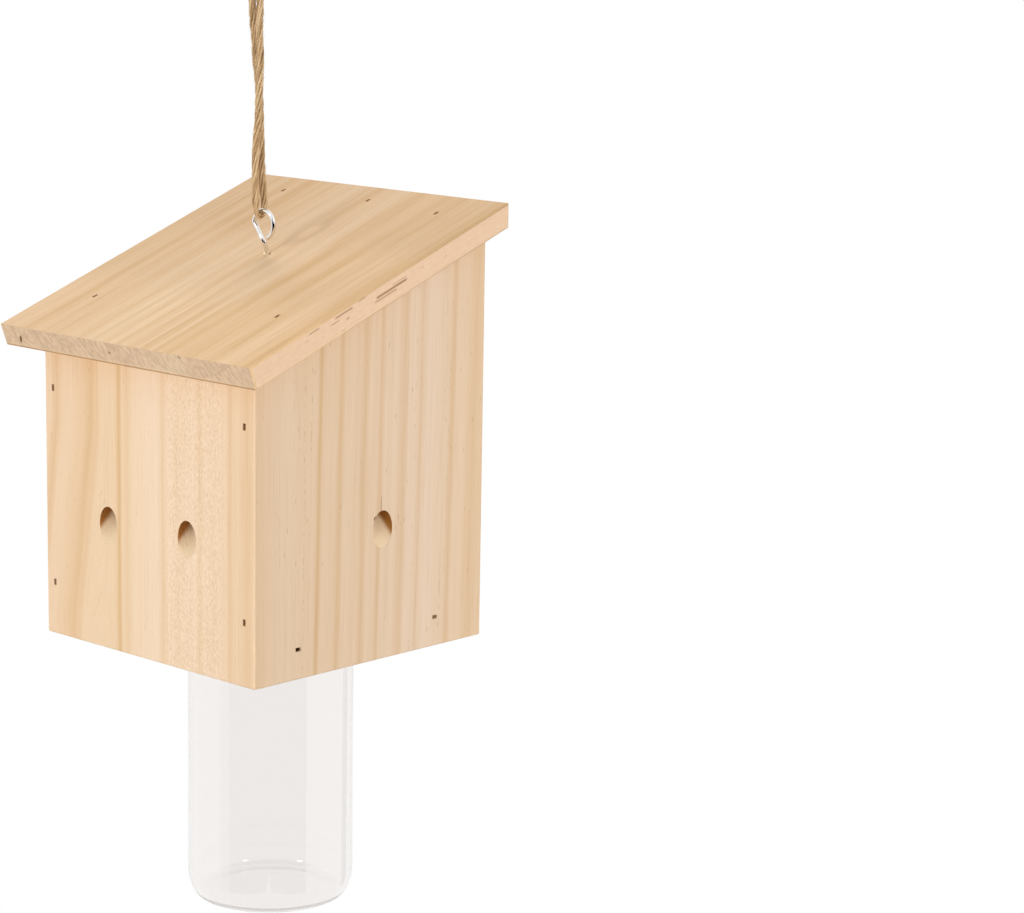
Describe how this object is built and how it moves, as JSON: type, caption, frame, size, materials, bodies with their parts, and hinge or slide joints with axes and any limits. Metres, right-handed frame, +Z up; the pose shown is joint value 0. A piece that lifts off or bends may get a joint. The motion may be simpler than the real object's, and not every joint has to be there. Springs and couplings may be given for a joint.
{
  "type": "carpenter bee trap",
  "caption": "Hanging pine box with a sloping roof, slanted round entrance holes and a clear screw-on catch jar below, hung by doubled twine from a screw eye.",
  "frame": {"origin": "under the top of the hanging loop, where a hook or nail bears", "axes": "+Z up, front of the box faces -Y, +X to the right when the front is looked at"},
  "size_m": [0.1664, 0.1583, 0.4601],
  "materials": {
    "pine": "planed bare pine",
    "brad": "dull steel wire",
    "nickel": "bright nickel plate",
    "jute": "twisted natural jute",
    "lid": "smooth white plastic",
    "liner": "white foam sheet",
    "clear": "clear moulded plastic"
  },
  "bodies": {
    "hanger": {"hanging_loop": "jute", "top_knot": "jute"},
    "twine": {"twine": "jute"},
    "house": {"front_panel": "pine", "back_panel": "pine", "left_panel": "pine", "right_panel": "pine", "floor_panel": "pine", "roof_panel": "pine", "front_brad_left_low": "brad", "front_brad_left_high": "brad", "front_brad_right_low": "brad", "front_brad_right_high": "brad", "back_brad_left_low": "brad", "back_brad_left_high": "brad", "back_brad_right_low": "brad", "back_brad_right_high": "brad", "floor_brad_left_front": "brad", "floor_brad_left_back": "brad", "floor_brad_right_front": "brad", "floor_brad_right_back": "brad", "roof_brad_front_left": "brad", "roof_brad_front_right": "brad", "roof_brad_back_left": "brad", "roof_brad_back_middle": "brad", "roof_brad_back_right": "brad", "screw_eye": "nickel", "jar_lid": "lid", "lid_screw_back_right": "nickel", "lid_screw_back_left": "nickel", "lid_screw_front_left": "nickel", "lid_screw_front_right": "nickel"},
    "liner": {"lid_liner": "liner"},
    "jar": {"jar": "clear"}
  },
  "joints": [
    {"name": "twine_sway", "type": "hinge", "parent": "hanger", "child": "twine", "pos_m": [0, 0, -0.0317], "axis": [0, 1, 0], "range_deg": [-20, 20]},
    {"name": "trap_swing", "type": "hinge", "parent": "twine", "child": "house", "pos_m": [0.00134, 0.00148, -0.13825], "axis": [1, 0, 0], "range_deg": [-30, 30]},
    {"name": "jar_turn", "type": "hinge", "parent": "house", "child": "liner", "pos_m": [0.00654, 0.0039, -0.32636], "axis": [0, 0, -1], "range_deg": [0, 900]},
    {"name": "jar_drop", "type": "slide", "parent": "liner", "child": "jar", "axis": [0, 0, -1], "range_m": [0, 0.0105]}
  ],
  "couplings": [
    {"joint": "jar_drop", "follows": "jar_turn", "m_per_rad": 0.00066845}
  ]
}
